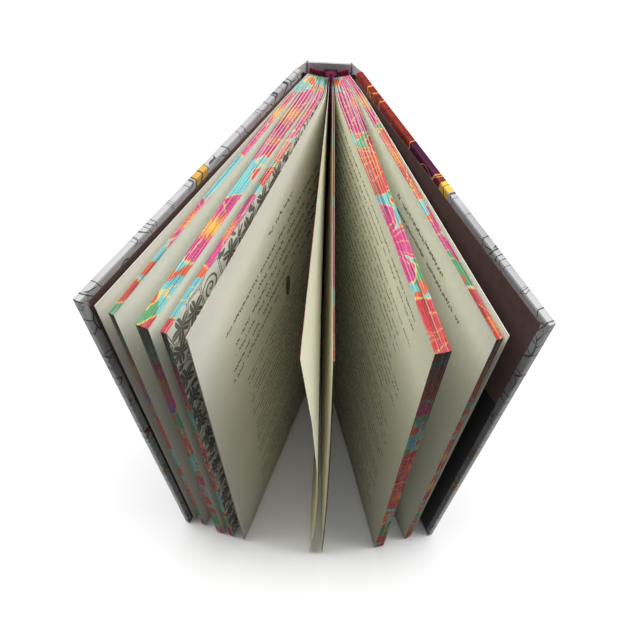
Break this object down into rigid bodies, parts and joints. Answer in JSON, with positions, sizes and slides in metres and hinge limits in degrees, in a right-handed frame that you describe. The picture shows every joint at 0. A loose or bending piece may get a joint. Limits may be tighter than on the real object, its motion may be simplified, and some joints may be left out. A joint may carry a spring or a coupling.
{
  "type": "hardcover book",
  "caption": "Hardcover book standing open on its tail edge, leaves fanned out between two hinged covers, with printed edges, headbands and a ribbon marker.",
  "frame": {"origin": "centre of the spine's tail face, on the table", "axes": "+Z from tail to head, +Y out of the spine, +X towards the back cover"},
  "size_m": [0.1466, 0.1447, 0.222],
  "materials": {
    "leaves": "matte",
    "endpaper": "matte",
    "covering": "satin",
    "pastedown": "matte",
    "board": "matte",
    "lining": "matte",
    "band": "satin",
    "ribbon": "satin"
  },
  "bodies": {
    "book_block": {"page_block": "leaves", "spine_lining": "lining", "headband": "band", "tailband": "band", "ribbon_marker": "ribbon", "spine_board": "board", "spine_wrap": "covering", "front_joint": "covering", "back_joint": "covering", "front_endpaper": "endpaper", "back_endpaper": "endpaper"},
    "front_cover": {"front_board": "board", "front_wrap": "covering", "front_pastedown": "pastedown"},
    "back_cover": {"back_board": "board", "back_wrap": "covering", "back_pastedown": "pastedown"}
  },
  "joints": [
    {"name": "front_cover_fold", "type": "hinge", "parent": "book_block", "child": "front_cover", "pos_m": [-0.0137, -0.00575, 0.111], "axis": [0, 0, -1], "range_deg": [0, 150]},
    {"name": "back_cover_fold", "type": "hinge", "parent": "book_block", "child": "back_cover", "pos_m": [0.0137, -0.00575, 0.111], "axis": [0, 0, 1], "range_deg": [-3, 150]}
  ]
}
